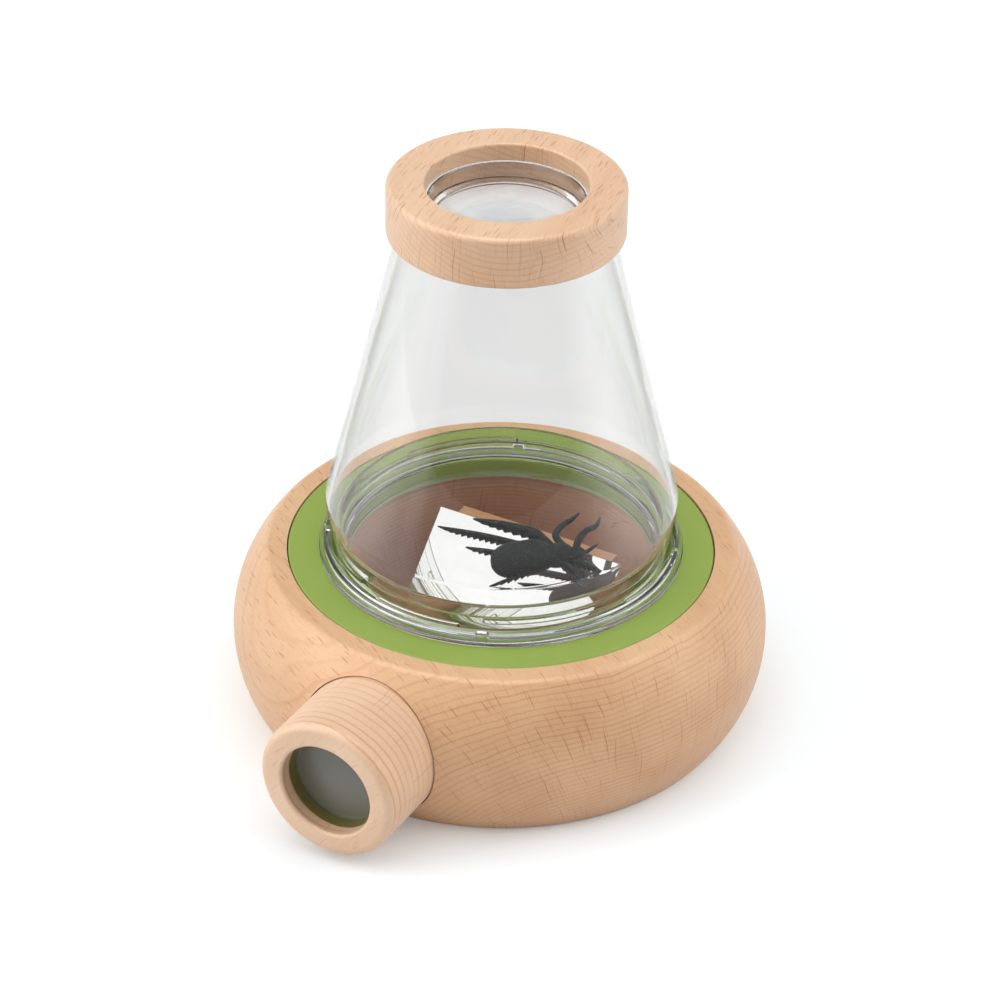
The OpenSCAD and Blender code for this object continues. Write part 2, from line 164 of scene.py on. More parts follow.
def new_material(name):
    """A new material, its node tree and its shader."""
    material = bpy.data.materials.new(name)
    material.use_nodes = True
    return material, material.node_tree, material.node_tree.nodes["Principled BSDF"]


def ray_mask(tree, grain, radius, around, pitch, size):
    """Rays of beech: one thin ellipsoid in each cell of a Voronoi lattice, with pitch and half size in
    millimetres along the grain, out from the pith and round it. Each has a strength of its own and fades
    to 0 at its skin."""
    cell = vectors(tree, "MULTIPLY", joined(tree, grain, radius, around), [1 / step for step in pitch])
    centre = add(tree, "ShaderNodeTexVoronoi", {"Vector": cell, "Scale": 1.0}, out="Position")
    strength = add(tree, "ShaderNodeTexWhiteNoise", {"Vector": centre}, out="Value")
    squeeze = [step / half for step, half in zip(pitch, size)]
    apart = vectors(tree, "MULTIPLY", vectors(tree, "SUBTRACT", cell, centre), squeeze)
    reach = vectors(tree, "LENGTH", apart, out="Value")
    return times(tree, stepped(tree, reach, 0.45, 1.0, 1.0, 0.0), strength)


def beech_group():
    """Beech as a solid pattern. Growth rings are shells round the pith, with a squared section for a slab
    cut wide of it, a slow wobble and a strength of their own, stronger where the surface cuts across the
    grain. Rays fan out from a pith of their own, and fibres run along the grain."""
    tree = bpy.data.node_groups.new("beech", "ShaderNodeTree")
    given = sockets(tree, "INPUT", Place="Vector", Normal="Vector", Grain="Vector", Radial="Vector",
                    Pith="Vector", Ray_pith="Vector", Squareness="Float", Ring_width="Float", Rings="Float",
                    Rays="Float", Light="Color", Dark="Color", Ray="Color")
    result = sockets(tree, "OUTPUT", Color="Color", Roughness="Float", Height="Float")
    place = vectors(tree, "MULTIPLY", given["Place"], (1000.0, 1000.0, 1000.0))
    side = vectors(tree, "CROSS_PRODUCT", given["Grain"], given["Radial"])

    def distances(centre):
        """Distances in millimetres from a centre: along the grain, sideways and radially."""
        away = vectors(tree, "SUBTRACT", place, centre)
        return [dot(tree, away, axis) for axis in (given["Grain"], side, given["Radial"])]

    spot = distances(given["Pith"])
    slow = noise(tree, stretched(tree, spot, SLOW_NOISE))
    fine = noise(tree, stretched(tree, spot, FINE_NOISE))
    squared = [calc(tree, "POWER", calc(tree, "ABSOLUTE", way), given["Squareness"]) for way in spot[1:]]
    shell = calc(tree, "POWER", plus(tree, *squared), calc(tree, "DIVIDE", 1.0, given["Squareness"]))
    shell = plus(tree, shell, times(tree, slow, RING_WOBBLE))
    shell = calc(tree, "DIVIDE", plus(tree, shell, times(tree, fine, RING_FRAY)), given["Ring_width"])
    year, season = calc(tree, "FLOOR", shell), calc(tree, "FRACT", shell)
    late = times(tree, stepped(tree, season, *LATE_BEGIN), stepped(tree, season, *LATE_END, 1.0, 0.0))
    strength = add(tree, "ShaderNodeTexWhiteNoise", {"W": year}, out="Value", noise_dimensions="1D")
    ring = times(tree, late, scaled(tree, strength, 0.6, 0.4))
    end_grain = calc(tree, "ABSOLUTE", dot(tree, given["Normal"], given["Grain"]))
    ring = times(tree, times(tree, ring, given["Rings"]), scaled(tree, end_grain, 0.55, 0.45))

    ray_along, ray_across, ray_out = distances(given["Ray_pith"])
    squares = [calc(tree, "POWER", way, 2.0) for way in (ray_across, ray_out)]
    radius = calc(tree, "SQRT", plus(tree, *squares))
    around = times(tree, calc(tree, "ARCTAN2", ray_across, ray_out), RAY_REACH)
    around = plus(tree, around, times(tree, slow, RAY_WOBBLE))
    large = ray_mask(tree, ray_along, radius, around, **LARGE_RAYS)
    small = ray_mask(tree, ray_along, radius, around, **SMALL_RAYS)
    ray = times(tree, calc(tree, "MAXIMUM", large, times(tree, small, 0.5)), given["Rays"])

    fibre = noise(tree, stretched(tree, spot, FIBRES), 3.0, 0.7)
    cloud = noise(tree, stretched(tree, spot, CLOUDS), 3.0)
    fibre_tone = times(tree, minus(tree, fibre, 0.5), FIBRE_TONE)
    tone = plus(tree, fibre_tone, times(tree, minus(tree, cloud, 0.35), CLOUD_TONE))
    tone = plus(tree, plus(tree, tone, times(tree, end_grain, END_TONE)), ring, clamp=True)
    colour = blend(tree, ray, blend(tree, tone, given["Light"], given["Dark"]), given["Ray"])
    height = minus(tree, times(tree, fibre, 0.5), times(tree, plus(tree, ring, ray), 0.15))
    tree.links.new(colour, result["Color"])
    tree.links.new(scaled(tree, fibre, 0.12, 0.34), result["Roughness"])
    tree.links.new(height, result["Height"])
    return tree


def beech(name, grain, radial, pith, ray_pith, squareness, ring_width, rings, rays, light=BEECH_LIGHT,
          dark=BEECH_DARK, bare_shaded_within=0.0):
    """Varnished beech with its grain in one direction, its pith at a point in millimetres and rings of one
    width. Within a distance from the base's axis, in metres, it is left bare, with less gloss, and its
    colour is darkened there with painted shade."""
    material, tree, shader = new_material(name)
    where = tree.nodes.new("ShaderNodeTexCoord").outputs
    wood = tree.nodes.new("ShaderNodeGroup")
    wood.node_tree = BEECH
    feed(tree, wood, {"Place": where["Object"], "Normal": where["Normal"], "Grain": grain, "Radial": radial,
                      "Pith": pith, "Ray pith": ray_pith, "Squareness": squareness, "Ring width": ring_width,
                      "Rings": rings, "Rays": rays, "Light": linear(*light), "Dark": linear(*dark),
                      "Ray": linear(*BEECH_RAY)})
    level = vectors(tree, "MULTIPLY", where["Object"], (1.0, 1.0, 0.0))
    varnished_unshaded = calc(tree, "GREATER_THAN", vectors(tree, "LENGTH", level, out="Value"), bare_shaded_within)
    # Painted shade: within that distance the wood's colour is darkened. The gloss is lower there because the
    # wood is bare.
    shade = blend(tree, varnished_unshaded, HOLLOW_PAINTED_SHADE, (1.0, 1.0, 1.0, 1.0))
    bump = {"Height": wood.outputs["Height"], "Strength": 0.35, "Distance": 0.00006}
    feed(tree, shader, {"Base Color": blend(tree, 1.0, wood.outputs["Color"], shade, "MULTIPLY"),
                        "Roughness": wood.outputs["Roughness"],
                        "Specular IOR Level": scaled(tree, varnished_unshaded, 0.65, 0.1),
                        "Sheen Weight": 0.12, "Normal": add(tree, "ShaderNodeBump", bump)})
    return material


def flat_axis(degrees):
    """The level direction at that many degrees from +X towards +Y."""
    return (math.cos(math.radians(degrees)), math.sin(math.radians(degrees)), 0.0)


def dress(node, material):
    """Gives a CAD node its finish."""
    parts[node].material_slots[0].material = material


BEECH = beech_group()
UP = (0.0, 0.0, 1.0)
dress("base_body", beech(
    "beech_base", flat_axis(BASE_GRAIN_ANGLE), UP, BASE_PITH, BASE_RAY_PITH, squareness=4.0,
    ring_width=BASE_RING_WIDTH, rings=0.55, rays=0.8, bare_shaded_within=HOLLOW_R))


# Cover plate: moulded green plastic let in flush with the top of the base. It has the fine satin grain of
# its mould, and its short collar hangs down into the hollow.
GREEN = (154, 178, 86)
GLOSS_CLOUDS = (60.0, 60.0, 60.0)
DEEPER = 0.86
PAINTED_GLINT_STEP = (0.58, 0.72)


def moulded(name, colour, rough, grain_size, depth, gloss=0.5, painted_glint=None):
    """Moulded plastic: one colour with a fine pebbled grain of a size in metres, a slow change of gloss and
    perhaps paler painted glints on the highest pebbles."""
    material, tree, shader = new_material(name)
    where = tree.nodes.new("ShaderNodeTexCoord").outputs["Object"]
    pebbles = noise(tree, vectors(tree, "MULTIPLY", where, (1 / grain_size,) * 3), 2.0, 0.6)
    cloud = noise(tree, vectors(tree, "MULTIPLY", where, GLOSS_CLOUDS), 2.0)
    deep = [part * DEEPER for part in colour]
    tone = blend(tree, scaled(tree, cloud, 0.5, times(tree, pebbles, 0.3)), linear(*colour), linear(*deep))
    # Painted glints: the highest pebbles take a paler colour.
    tone = blend(tree, stepped(tree, pebbles, *PAINTED_GLINT_STEP), tone, linear(*(painted_glint or colour)))
    bump = {"Height": pebbles, "Strength": depth, "Distance": grain_size * 0.3}
    feed(tree, shader, {"Base Color": tone, "Roughness": scaled(tree, cloud, 0.12, rough - 0.06),
                        "Specular IOR Level": gloss, "Normal": add(tree, "ShaderNodeBump", bump)})
    return material


dress("cover_plate", moulded("green_plate", GREEN, rough=0.42, grain_size=0.0004, depth=0.25, gloss=0.25))


# Mirror block: a wedge of beech sawn at 45 degrees, with its grain along its length. It is screwed down in
# the hollow and left bare, and all of it is darkened with the same painted shade as the hollow.
BLOCK_PITH = (0.0, 20.0, -60.0)
BLOCK_RAY_PITH = (0.0, 20.0, -90.0)
BLOCK_BARE_SHADED_R = 0.1
dress("mirror_block", beech(
    "beech_block", (1.0, 0.0, 0.0), UP, BLOCK_PITH, BLOCK_RAY_PITH, squareness=2.0, ring_width=1.6,
    rings=0.4, rays=0.6, bare_shaded_within=BLOCK_BARE_SHADED_R))


# Mirror pad: white foam tape, sticky on both faces. It holds the mirror on the slope of its block and is
# hidden between them.
FOAM_WHITE = (232, 232, 226)
dress("mirror_tape", moulded("foam_pad", FOAM_WHITE, rough=0.8, grain_size=0.0006, depth=0.6))


# Mirror: silvered glass with polished edges, 2 mm thick, stuck on the block's slope. The eyepiece looks
# into it and sees the toy insect from below.
MIRROR_TINT = (254, 252, 251)
MIRROR_HAZE = (248, 246, 245)
WIPES = (90.0, 300.0, 300.0)


def silvered():
    """Silver behind glass: a bright metal with the faintest wiping haze."""
    material, tree, shader = new_material("mirror_silver")
    where = tree.nodes.new("ShaderNodeTexCoord").outputs["Object"]
    haze = noise(tree, vectors(tree, "MULTIPLY", where, WIPES), 3.0)
    feed(tree, shader, {"Base Color": blend(tree, haze, linear(*MIRROR_TINT), linear(*MIRROR_HAZE)),
                        "Roughness": times(tree, haze, 0.03), "Metallic": 1.0})
    return material


dress("mirror_glass", silvered())


# Block screws: two zinc-plated countersunk screws driven up through the base into the mirror block, with a
# cross recess in each head.
ZINC_LIGHT = (205, 206, 208)
ZINC_DARK = (150, 152, 156)
TURNED_STREAKS = (3000.0, 3000.0, 600.0)


def zinc():
    """Plated steel with fine turned streaks."""
    material, tree, shader = new_material("zinc_screws")
    where = tree.nodes.new("ShaderNodeTexCoord").outputs["Object"]
    streaks = noise(tree, vectors(tree, "MULTIPLY", where, TURNED_STREAKS), 2.0)
    feed(tree, shader, {"Base Color": blend(tree, streaks, linear(*ZINC_LIGHT), linear(*ZINC_DARK)),
                        "Roughness": scaled(tree, streaks, 0.2, 0.22), "Metallic": 1.0})
    return material


dress("block_screws", zinc())


# Eyepiece barrel: turned beech, paler than the base, with its growth lines running round it. It is pushed
# into its bore by hand and slides there to focus.
EYE_LIGHT = (236, 203, 172)
EYE_DARK = (205, 157, 118)
EYE_GRAIN_TILT = math.radians(49)
EYE_GRAIN = (math.cos(EYE_GRAIN_TILT), 0.0, math.sin(EYE_GRAIN_TILT))
EYE_PITH = (0.0, 260.0, 20.0)
EYE_RAY_PITH = (0.0, 60.0, 20.0)
dress("eyepiece_barrel", beech(
    "beech_eyepiece", EYE_GRAIN, (0.0, -1.0, 0.0), EYE_PITH, EYE_RAY_PITH, squareness=2.0, ring_width=2.27,
    rings=0.7, rays=0.35, light=EYE_LIGHT, dark=EYE_DARK))


# Eyepiece liner and retainer: an olive moulded tube pressed into the barrel, and the ring behind it that
# holds the lens against its ledge.
OLIVE = (116, 111, 58)
olive = moulded("olive_tube", OLIVE, rough=0.4, grain_size=0.0004, depth=0.3)
dress("eyepiece_liner", olive)
dress("eyepiece_retainer", olive)


# Eyepiece lens: a clear moulded lens in the liner, slightly dull with dust. It is turned from its section
# and laid on the eyepiece's axis.
EYE_AXIS_Z = 21.0
EYE_LENS = {"rim": 12.8, "edge": 1.6, "curve": 80.0, "foot": 76.3}
EYE_LENS_TINT = (226, 229, 222)
PLASTIC_IOR = 1.49
SHADOW_FADE, SHADOW_PASS = (0.5, 1.0), (0.92, 0.4)
EDGE_FADE, EDGE_PASS = (0.72, 0.94), (0.0, 0.85)


def clear_plastic(name, tint, rough=0.0, clear=1.0):
    """Clear polished plastic. Shadows and bounced light pass nearly straight through it, as through a thin
    wall. Where a wall is seen edge on, most of the light does so too, so that its outline fades."""
    material, tree, shader = new_material(name)
    path = tree.nodes.new("ShaderNodeLightPath").outputs
    facing = add(tree, "ShaderNodeLayerWeight", {"Blend": 0.5}, out="Facing")
    passing = calc(tree, "MAXIMUM", path["Is Shadow Ray"], path["Is Diffuse Ray"])
    straight = times(tree, passing, stepped(tree, facing, *SHADOW_FADE, *SHADOW_PASS))
    seen = times(tree, minus(tree, 1.0, passing), stepped(tree, facing, *EDGE_FADE, *EDGE_PASS))
    feed(tree, shader, {"Base Color": linear(*tint), "Roughness": rough, "IOR": PLASTIC_IOR,
                        "Transmission Weight": clear, "Alpha": minus(tree, 1.0, plus(tree, straight, seen))})
    return material


def placed(name, verts, faces, material, body, sharp=30.0):
    """A mesh object on its body from points in millimetres and faces, smooth but for edges sharper than an
    angle."""
    mesh = bpy.data.meshes.new(name)
    mesh.from_pydata((np.asarray(verts) / 1000).tolist(), [], [list(face) for face in faces])
    welder = bmesh.new()
    welder.from_mesh(mesh)
    bmesh.ops.remove_doubles(welder, verts=welder.verts, dist=1e-7)
    welder.to_mesh(mesh)
    welder.free()
    mesh.shade_smooth()
    mesh.set_sharp_from_angle(angle=math.radians(sharp))
    mesh.materials.append(material)
    piece = bpy.data.objects.new(name, mesh)
    bpy.context.scene.collection.objects.link(piece)
    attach(piece, body)
    return piece


def turned(sections, turns):
    """Turns closed outlines round Z: x = r cos t, y = r sin t. sections holds one outline of points (r, z)
    for each of the turns, in degrees, and each outline runs upwards on its outer side. Points on the axis
    meet in a pole."""
    sections, angle = np.asarray(sections, float), np.radians(turns)[:, None]
    radius, height = sections[..., 0], sections[..., 1]
    verts = np.stack([radius * np.cos(angle), radius * np.sin(angle), height], -1).reshape(-1, 3)
    rows, points = radius.shape
    grid = np.meshgrid(np.arange(rows), np.arange(points), indexing="ij")
    row, point = (index.ravel() for index in grid)
    row_next, point_next = (row + 1) % rows, (point + 1) % points
    corners = ((row, point), (row_next, point), (row_next, point_next), (row, point_next))
    faces = np.stack([a * points + b for a, b in corners], 1)
    on_axis = (radius.ravel()[faces[:, 0]] == 0) & (radius.ravel()[faces[:, 2]] == 0)
    return verts, faces[~on_axis].tolist()


def lens_outline(rim, edge, curve, foot, steps=24):
    """Section of a lens of two round faces, which rise over the rim by
    sqrt(curve^2 - r^2) - sqrt(curve^2 - rim^2)."""
    r = np.linspace(0, rim, steps)
    bulge = np.sqrt(curve**2 - r**2) - math.sqrt(curve**2 - rim**2)
    under, over = np.stack([r, foot - bulge], 1), np.stack([r, foot + edge + bulge], 1)
    return np.concatenate([under, over[::-1]])


FULL_TURN = np.linspace(0, 360, 192, endpoint=False)
verts, faces = turned([lens_outline(**EYE_LENS)] * len(FULL_TURN), FULL_TURN)
verts = np.stack([verts[:, 0], -verts[:, 2], verts[:, 1] + EYE_AXIS_Z], 1)
dusty = clear_plastic("eye_lens", EYE_LENS_TINT, rough=0.25, clear=0.91)
eye_lens = placed("eye_lens", verts, faces, dusty, "eyepiece")
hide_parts("eyepiece_lens")


# Dish: the clear moulded tray with a flange that rests on the green plate. Its collar has a stepped mouth
# and four locking lugs outside. It is turned from its section, and where a lug lies the section stands out.
CLEAR_TINT = (251, 252, 252)
DISH_FOOT, DISH_FLOOR, DISH_TOP, FLANGE_TOP, COLLAR_TOP = 38.6, 40.6, 43.4, 44.8, 52.6
DISH_R, COLLAR_R, LUG_R, FLANGE_R = 40.0, 41.1, 41.85, 45.6
DISH_IN_R, COLLAR_IN_R, MOUTH_R, MOUTH_Z = 38.4, 39.2, 40.0, 48.7
LUG_FOOT, LUG_TOP, LUG_MIDDLE, LUG_SWEEP = 48.0, 49.2, 45.0, 43.0
FLUSH = 0.01


def rounded(corners, steps=4):
    """An outline from corners (r, z, rounding): each arc touches both sides, its centre rounding / sin(half
    the corner's angle) away from the corner along the bisector."""
    spots = np.array([corner[:2] for corner in corners], float)
    points = []
    for k, (r, z, rounding) in enumerate(corners):
        if not rounding:
            points.append([[r, z]])
            continue
        here = spots[k]
        before, after = ((spots[(k + d) % len(spots)] - here) for d in (-1, 1))
        before, after = before / np.linalg.norm(before), after / np.linalg.norm(after)
        half = math.acos(float(before @ after)) / 2
        centre = here + (before + after) / np.linalg.norm(before + after) * rounding / math.sin(half)
        first = here + before * rounding / math.tan(half) - centre
        last = here + after * rounding / math.tan(half) - centre
        sweep, share = math.pi - 2 * half, np.linspace(0, 1, steps + 1)[:, None]
        arc = (np.sin((1 - share) * sweep) * first + np.sin(share * sweep) * last) / math.sin(sweep)
        points.append(centre + arc)
    return np.concatenate(points)


def dish_outline(lug):
    """Section of the dish, out to the lug's face where there is one."""
    proud = LUG_R if lug else COLLAR_R + FLUSH
    return rounded([
        (0, DISH_FOOT, 0), (DISH_R, DISH_FOOT, 0.6), (DISH_R, DISH_TOP, 0), (FLANGE_R, DISH_TOP, 0.2),
        (FLANGE_R, FLANGE_TOP, 0.5), (COLLAR_R, FLANGE_TOP, 0.3), (COLLAR_R, LUG_FOOT, 0),
        (proud, LUG_FOOT, 0), (proud, LUG_TOP, 0), (COLLAR_R, LUG_TOP, 0), (COLLAR_R, COLLAR_TOP, 0.35),
        (MOUTH_R, COLLAR_TOP, 0.3), (MOUTH_R, MOUTH_Z, 0.15), (COLLAR_IN_R, MOUTH_Z, 0.15),
        (COLLAR_IN_R, FLANGE_TOP, 0.15), (DISH_IN_R, FLANGE_TOP, 0.15), (DISH_IN_R, DISH_FLOOR, 0.8),
        (0, DISH_FLOOR, 0),
    ])


def within(turns, middle, sweep):
    """Which turns lie within a sweep about a middle that repeats each quarter."""
    return np.abs((turns - middle + 45) % 90 - 45) < sweep / 2


clear = clear_plastic("clear_moulding", CLEAR_TINT)
FINE_TURN = np.arange(0, 360, 0.75)
choice = [dish_outline(False), dish_outline(True)]
sections = [choice[int(lug)] for lug in within(FINE_TURN, LUG_MIDDLE, LUG_SWEEP)]
dish = placed("clear_dish", *turned(sections, FINE_TURN), clear, "container")
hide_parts("dish")


# Toy insect: black moulded plastic, a katydid with a grained body, saw-toothed legs and two thick feelers,
# lying loose in the dish. Each limb is swept along its own line, and the body is three swept forms.
BLACK = (19, 20, 22)
# Painted glints: the paler grey given to the highest pebbles of the insect's grain.
PAINTED_GLINT = (80, 84, 87)
INSECT_PLACE, INSECT_TURN = (9.5, -5.3, 40.7), 46.0
PEBBLE_HEIGHT, PEBBLE_PITCH, PEBBLES_ROUND = 0.15, 1.1, 26
BODY_STATIONS, BODY_SIDES = 160, 144


def swept(line, high, low, half, sides=12):
    """A closed limb along a line: p = line + side * half * sin a + up * rise * cos a, where a runs round it
    and rise is high above the line and low below it."""
    line = np.asarray(line, float)
    ahead = np.gradient(line, axis=0)
    ahead /= np.linalg.norm(ahead, axis=1)[:, None]
    side = np.cross(ahead, (0, 0, 1.0))
    side /= np.linalg.norm(side, axis=1)[:, None]
    upward = np.cross(side, ahead)
    angle = np.linspace(0, 2 * np.pi, sides, endpoint=False)
    rise = np.where(np.cos(angle) > 0, np.asarray(high)[:, None], np.asarray(low)[:, None])
    rise = np.cos(angle) * rise
    spread = np.sin(angle) * np.asarray(half)[:, None]
    verts = line[:, None] + side[:, None] * spread[..., None] + upward[:, None] * rise[..., None]
    stations = len(line)
    grid = np.meshgrid(np.arange(stations - 1), np.arange(sides), indexing="ij")
    i, k = (index.ravel() for index in grid)
    k_next = (k + 1) % sides
    corners = ((i, k), (i, k_next), (i + 1, k_next), (i + 1, k))
    faces = np.stack([a * sides + b for a, b in corners], 1).tolist()
    faces += [list(range(sides))[::-1], [(stations - 1) * sides + s for s in range(sides)]]
    return verts.reshape(-1, 3), faces


def eased(points, stations):
    """A smooth line through points: Catmull-Rom between each two."""
    points = np.asarray(points, float)
    ends = np.concatenate([[2 * points[0] - points[1]], points, [2 * points[-1] - points[-2]]])
    place = np.linspace(0, len(points) - 1 - 1e-9, stations)
    k, t = place.astype(int), (place % 1)[:, None]
    a, b, c, d = ends[k], ends[k + 1], ends[k + 2], ends[k + 3]
    return 0.5 * (2 * b + (c - a) * t + (2 * a - 5 * b + 4 * c - d) * t**2 + (3 * b - a - 3 * c + d) * t**3)


def blade(points, thick, deep, pitch=1.6, tooth=0.95):
    """A leg: a rounded ridge with a thin blade under it, whose lower edge is cut in teeth of a pitch and
    depth."""
    reach = np.linalg.norm(np.diff(np.asarray(points, float), axis=0), axis=1).sum()
    stations = int(reach / pitch * 8)
    along = np.linspace(0, 1, stations)
    taper = 1 - 0.75 * along**3
    saw = (along * reach / pitch) % 1
    low = deep * (1 - along**6) + 0.12 - tooth * (1 - saw) * np.minimum(1, 4 * (1 - along))
    half = 0.5 * thick * taper
    return swept(eased(points, stations), 0.45 * thick * taper, np.maximum(low, 0.1), half)


def body_form(tail, head, centre_z, radius, blunt, y=0.0):
    """A grained part of the body: radius * sqrt(1 - |u|^blunt) round its middle line, u from -1 at the tail
    to 1, with pebbles that stand out by height * cos(2 pi x / pitch) * cos(pebbles round * a)."""
    u = np.sin(np.linspace(-1, 1, BODY_STATIONS) * np.pi / 2) * 0.9999
    size = (radius - PEBBLE_HEIGHT) * np.sqrt(1 - np.abs(u) ** blunt)
    x = tail + (head - tail) * (u + 1) / 2
    line = np.stack([x, np.full_like(x, y), np.full_like(x, centre_z)], 1)
    verts, faces = swept(line, size, size, size, BODY_SIDES)
    angle = np.tile(np.linspace(0, 2 * np.pi, BODY_SIDES, endpoint=False), len(x))
    pebble = PEBBLE_HEIGHT * np.cos(2 * np.pi * np.repeat(x, BODY_SIDES) / PEBBLE_PITCH)
    pebble = pebble * np.cos(PEBBLES_ROUND * angle)
    middle = np.repeat(line, BODY_SIDES, axis=0)
    out = (verts - middle) / np.maximum(np.linalg.norm(verts - middle, axis=1), 1e-6)[:, None]
    return verts + out * (pebble * np.minimum(1, np.repeat(size, BODY_SIDES)))[:, None], faces


ABDOMEN = body_form(tail=-8.5, head=7.4, centre_z=4.65, radius=4.6, blunt=3.2)
THORAX = body_form(tail=4.6, head=13.0, centre_z=4.0, radius=3.2, blunt=2.2)
HEAD = body_form(tail=10.4, head=16.2, centre_z=3.3, radius=2.4, blunt=2.0, y=-0.45)
LEFT_LEGS = [
    blade([[5, 3, 4.6], [-6, 11.3, 5.1], [-16.9, 19.1, 5]], thick=1.5, deep=2.2),
    blade([[0, 2.6, 3.6], [-11.8, 11.2, 2.9]], thick=1.3, deep=1.8),
    blade([[8, 2.4, 4.8], [6.2, 5.2, 6.3], [4.6, 7.6, 7.0], [-1.5, 13.9, 6.4], [-7.3, 19.9, 5]],
          thick=2.4, deep=3.0),
]
RIGHT_LEGS = [
    blade([[7.8, -1.8, 3.6], [0, -3.2, 2.6], [-10.4, -5, 1.4]], thick=1.4, deep=1.5),
    blade([[9, -2, 3.9], [10.5, -8, 4.2], [11.6, -14, 3.4]], thick=1.5, deep=2.7),
    blade([[11, -2, 3.6], [14.6, -5.8, 4], [18, -9.5, 3]], thick=1.3, deep=2.2),
]
FEELERS = [
    blade([[11.2, 2.2, 4.6], [9.9, 5.4, 6], [11.6, 7.3, 7.2], [14.8, 8.4, 8.2], [17.4, 9.6, 9]],
          thick=1.9, deep=0.75, pitch=0.9, tooth=0.2),
    blade([[13.6, 0.8, 4.2], [15.1, 2.6, 6], [17.3, 4.1, 7.2], [19.8, 4, 8.2], [21.9, 6.4, 9]],
          thick=1.9, deep=0.75, pitch=0.9, tooth=0.2),
]
MOUTH_PART = blade([[14.6, -1, 3.6], [19.6, 0.8, 5]], thick=1.2, deep=0.4, pitch=1.0, tooth=0.1)
verts, faces, count = [], [], 0
for form_verts, form_faces in (ABDOMEN, THORAX, HEAD, *LEFT_LEGS, *RIGHT_LEGS, *FEELERS, MOUTH_PART):
    verts.append(form_verts)
    faces += [[corner + count for corner in face] for face in form_faces]
    count += len(form_verts)
spin = math.radians(INSECT_TURN)
turn = np.array([[math.cos(spin), math.sin(spin), 0], [-math.sin(spin), math.cos(spin), 0], [0, 0, 1]])
verts = np.concatenate(verts) @ turn + INSECT_PLACE
black = moulded("insect_black", BLACK, rough=0.3, grain_size=0.0006, depth=1.0, gloss=0.25, painted_glint=PAINTED_GLINT)
katydid = placed("toy_insect", verts, faces, black, "container", sharp=40)
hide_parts("insect")


# Bell: a clear moulded cone on a short upright skirt, with a bead round its foot, four air notches and four
# lugs inside. At its top a shelf takes the lens and a neck stands in the wooden ring. It is turned from one
# section, which changes at each notch and lug.
BELL_FOOT, BEAD_TOP, SKIRT_FOOT, SHOULDER_Z, SHOULDER_IN_Z = 45.0, 46.6, 47.3, 59.6, 58.57
BEAD_R, SKIRT_R, SKIRT_IN_R = 44.5, 43.8, 42.2
CONE_TOP_R, CONE_IN_TOP_R, CONE_TOP_Z = 25.8, 24.43, 133.9
SHELF_R, SHELF_FOOT, SHELF_TOP = 17.3, 131.9, 133.43
NECK_R, NECK_IN_R, NECK_TOP = 21.2, 19.0, 141.0
BELL_LUG_R, BELL_LUG_FOOT, BELL_LUG_TOP = 41.45, 46.2, 47.4
BELL_LUG_MIDDLE, BELL_LUG_SWEEP = 0.0, 31.0
NOTCH_HEIGHT, NOTCH_MIDDLE, NOTCH_SWEEP = 0.9, 23.5, 3.9


def bell_outline(lug, notch):
    """Section of the bell: its lug and the notch under its foot where there are any."""
    foot = BELL_FOOT + (NOTCH_HEIGHT if notch else 0.0)
    proud = BELL_LUG_R if lug else SKIRT_IN_R - FLUSH
    return rounded([
        (BEAD_R, foot, 0.2), (BEAD_R, BEAD_TOP, 0.3), (SKIRT_R, SKIRT_FOOT, 0.3), (SKIRT_R, SHOULDER_Z, 3),
        (CONE_TOP_R, CONE_TOP_Z, 0.2), (NECK_R, CONE_TOP_Z, 0), (NECK_R, NECK_TOP, 0.3),
        (NECK_IN_R, NECK_TOP, 0.3), (NECK_IN_R, CONE_TOP_Z, 0), (SHELF_R, SHELF_TOP, 0),
        (SHELF_R, SHELF_FOOT, 0.2), (CONE_IN_TOP_R, SHELF_FOOT, 0.8), (SKIRT_IN_R, SHOULDER_IN_Z, 3),
        (SKIRT_IN_R, BELL_LUG_TOP, 0), (proud, BELL_LUG_TOP, 0), (proud, BELL_LUG_FOOT, 0),
        (SKIRT_IN_R, BELL_LUG_FOOT, 0), (SKIRT_IN_R, foot, 0.15),
    ])


choice = {(lug, notch): bell_outline(lug, notch) for lug in (False, True) for notch in (False, True)}
lugs = within(FINE_TURN, BELL_LUG_MIDDLE, BELL_LUG_SWEEP)
notches = within(FINE_TURN, NOTCH_MIDDLE, NOTCH_SWEEP)
sections = [choice[bool(lug), bool(notch)] for lug, notch in zip(lugs, notches)]
bell = placed("clear_bell", *turned(sections, FINE_TURN), clear, "bell")
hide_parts("dome")


# Top lens and its retaining ring: a clear moulded magnifier that lies on the bell's shelf, and the flat
# clear ring over its rim that holds it there.
TOP_LENS = {"rim": 18.9, "edge": 2.0, "curve": 62.0, "foot": 134.0}
verts, faces = turned([lens_outline(**TOP_LENS)] * len(FULL_TURN), FULL_TURN)
magnifier = placed("top_magnifier", verts, faces, clear, "bell")
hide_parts("top_lens")
dress("lens_retainer", clear)


# Top ring: turned beech pressed over the bell's neck. It is cut from a board, so its growth lines bend
# slowly across its side and fine rays fleck its top.
RING_LIGHT = (230, 194, 161)
RING_DARK = (201, 152, 112)
RING_GRAIN_ANGLE = 96.6
RING_PITH = (12.0, 0.0, 183.0)
RING_RAY_PITH = (4.0, 0.0, 230.0)
dress("top_ring", beech(
    "beech_ring", flat_axis(RING_GRAIN_ANGLE), UP, RING_PITH, RING_RAY_PITH, squareness=2.0, ring_width=1.5,
    rings=0.45, rays=0.9, light=RING_LIGHT, dark=RING_DARK))


